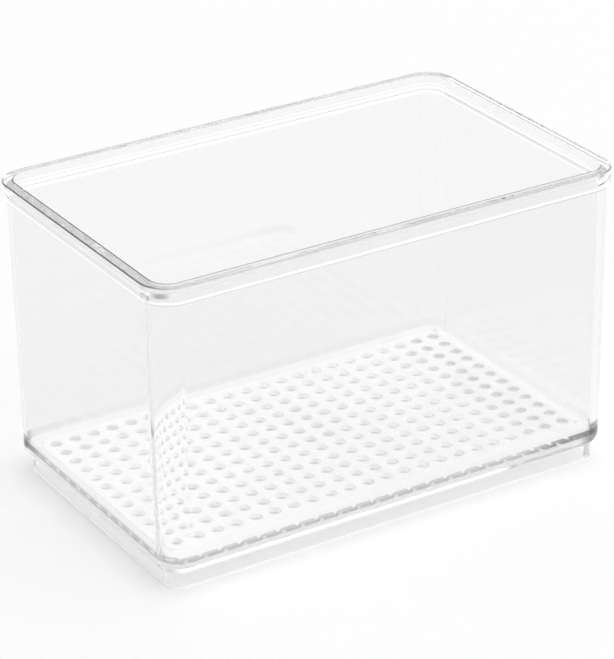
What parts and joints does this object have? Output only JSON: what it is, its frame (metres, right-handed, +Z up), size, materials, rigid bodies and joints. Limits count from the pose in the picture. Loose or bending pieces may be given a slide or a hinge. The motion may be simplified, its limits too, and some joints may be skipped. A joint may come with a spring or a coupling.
{
  "type": "fridge bin",
  "caption": "Clear open-topped stackable fridge bin with a thick collar, a stepped hollow foot and a loose perforated drain tray on its base.",
  "frame": {"origin": "centre of the rectangle that the foot skirt stands on, on the surface the bin stands on", "axes": "+X along the bin's length, +Y along its width, +Z up out of the open top"},
  "size_m": [0.1956, 0.123, 0.1196],
  "materials": {
    "clear_plastic": "crystal clear, polished, colourless",
    "tray_plastic": "translucent milky white, satin"
  },
  "bodies": {
    "bin": {"bin_body": "clear_plastic"},
    "tray": {"drain_tray": "tray_plastic"}
  },
  "joints": [
    {"name": "tray_lift", "type": "slide", "parent": "bin", "child": "tray", "axis": [0, 0, 1], "range_m": [0, 0.13]}
  ]
}
